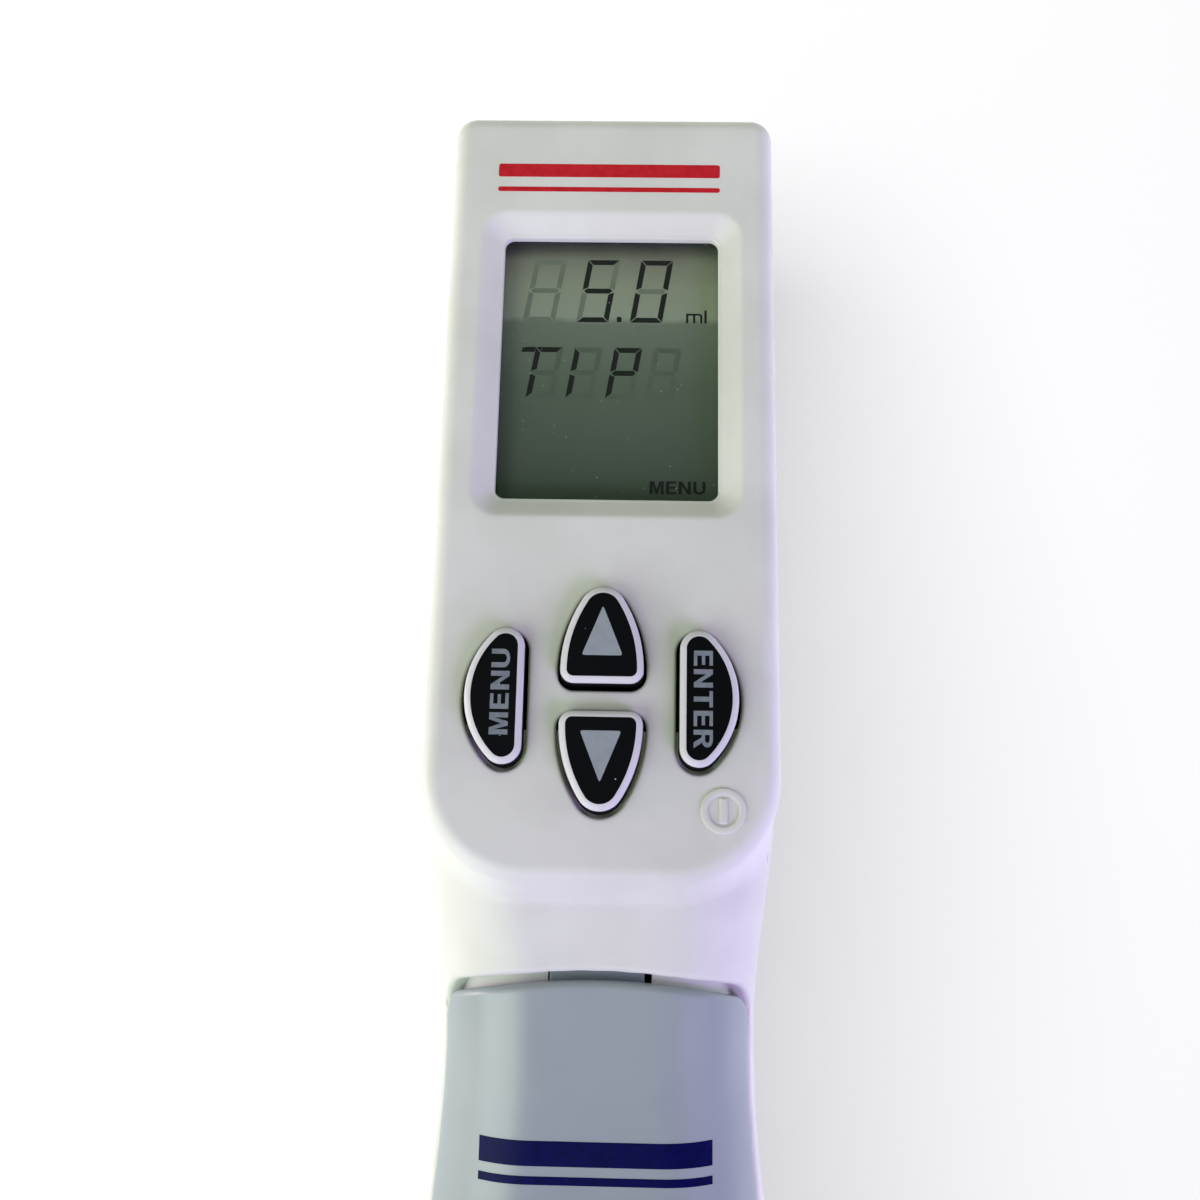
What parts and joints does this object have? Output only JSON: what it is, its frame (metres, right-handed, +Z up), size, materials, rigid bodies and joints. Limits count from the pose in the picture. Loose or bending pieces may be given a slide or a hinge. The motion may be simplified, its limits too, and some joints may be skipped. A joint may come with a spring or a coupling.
{
  "type": "repeating pipette",
  "caption": "Electronic repeating pipette with a leaning display head, arrow and half-moon keys, a waisted grip, finger hook, trigger, lead-screw drive and syringe-tip socket.",
  "frame": {"origin": "centre of the tip socket's mouth, at the lower end", "axes": "+Z up along the drive to the display head, the display faces -Y and leans back, +X to the right seen from the front"},
  "size_m": [0.0488, 0.0626, 0.2497],
  "materials": {
    "white_plastic": "satin",
    "cover_plastic": "satin",
    "latch_plastic": "satin",
    "dark_plastic": "matte",
    "key_rubber": "satin",
    "clear_window": "polished",
    "lcd_glass": "polished",
    "board": "satin",
    "steel": "brushed",
    "brass": "satin",
    "battery_sleeve": "gloss"
  },
  "bodies": {
    "shell": {"front_housing": "white_plastic", "rear_housing": "white_plastic", "display_window": "clear_window", "window_gasket": "dark_plastic", "lcd_panel": "lcd_glass", "lcd_frame": "dark_plastic", "main_board": "board", "board_parts": "dark_plastic", "key_switches": "steel", "beeper": "dark_plastic", "charging_jack": "dark_plastic", "drive_frame": "dark_plastic", "motor": "steel", "motor_posts": "brass", "screw_bearing": "steel", "guide_rods": "steel", "tip_holder": "latch_plastic", "latch_pins": "steel", "eject_spring": "steel", "trigger_pin": "steel", "trigger_switch": "dark_plastic", "finger_hook": "white_plastic", "hook_screws": "steel", "battery_cells": "battery_sleeve", "battery_tray": "dark_plastic", "battery_contacts": "brass", "cover_hinge_pin": "steel", "housing_screws": "steel", "board_screws": "steel"},
    "key_up_body": {"key_up": "key_rubber"},
    "key_down_body": {"key_down": "key_rubber"},
    "key_menu_body": {"key_menu": "key_rubber"},
    "key_enter_body": {"key_enter": "key_rubber"},
    "carriage_body": {"carriage": "dark_plastic", "drive_nut": "brass", "push_tube": "steel", "piston_clamp": "latch_plastic"},
    "screw_body": {"lead_screw": "steel", "shaft_coupling": "brass"},
    "latch_left_body": {"tip_latch_left": "cover_plastic"},
    "latch_right_body": {"tip_latch_right": "cover_plastic"},
    "ejector_body": {"ejector": "latch_plastic", "eject_key": "cover_plastic"},
    "trigger_body": {"step_trigger": "cover_plastic"},
    "cover_body": {"front_cover": "cover_plastic", "cover_latch": "latch_plastic"}
  },
  "joints": [
    {"name": "carriage_slide", "type": "slide", "parent": "shell", "child": "carriage_body", "axis": [0, 0, 1], "range_m": [0, 0.038]},
    {"name": "screw_spin", "type": "hinge", "parent": "shell", "child": "screw_body", "pos_m": [0, 0, 0.08], "axis": [0, 0, -1], "range_deg": [-10, 3430]},
    {"name": "eject_slide", "type": "slide", "parent": "shell", "child": "ejector_body", "axis": [0, 0, -1], "range_m": [0, 0.006], "stiffness_N_per_m": 350, "springref_m": -0.001, "deforming": ["eject_spring"]},
    {"name": "latch_left_swing", "type": "hinge", "parent": "shell", "child": "latch_left_body", "pos_m": [-0.0122, 0, 0.019], "axis": [0, 1, 0], "range_deg": [0, 10]},
    {"name": "latch_right_swing", "type": "hinge", "parent": "shell", "child": "latch_right_body", "pos_m": [0.0122, 0, 0.019], "axis": [0, -1, 0], "range_deg": [0, 10]},
    {"name": "trigger_press", "type": "hinge", "parent": "shell", "child": "trigger_body", "pos_m": [0, 0.0116, 0.11], "axis": [-1, 0, 0], "range_deg": [0, 6], "stiffness_Nm_per_rad": 0.2, "springref_deg": -1.15},
    {"name": "cover_hinge", "type": "hinge", "parent": "shell", "child": "cover_body", "pos_m": [0, -0.013, 0.0258], "axis": [1, 0, 0], "range_deg": [0, 22]},
    {"name": "up_key_press", "type": "slide", "parent": "shell", "child": "key_up_body", "axis": [0, 0.9659, -0.2588], "range_m": [0, 0.0008], "stiffness_N_per_m": 1500, "springref_m": -0.0002},
    {"name": "down_key_press", "type": "slide", "parent": "shell", "child": "key_down_body", "axis": [0, 0.9659, -0.2588], "range_m": [0, 0.0008], "stiffness_N_per_m": 1500, "springref_m": -0.0002},
    {"name": "menu_key_press", "type": "slide", "parent": "shell", "child": "key_menu_body", "axis": [0, 0.9659, -0.2588], "range_m": [0, 0.0008], "stiffness_N_per_m": 1500, "springref_m": -0.0002},
    {"name": "enter_key_press", "type": "slide", "parent": "shell", "child": "key_enter_body", "axis": [0, 0.9659, -0.2588], "range_m": [0, 0.0008], "stiffness_N_per_m": 1500, "springref_m": -0.0002}
  ],
  "couplings": [
    {"joint": "screw_spin", "follows": "carriage_slide", "rad_per_m": 1570.8},
    {"joint": "latch_left_swing", "follows": "eject_slide", "rad_per_m": 29},
    {"joint": "latch_right_swing", "follows": "eject_slide", "rad_per_m": 29}
  ]
}
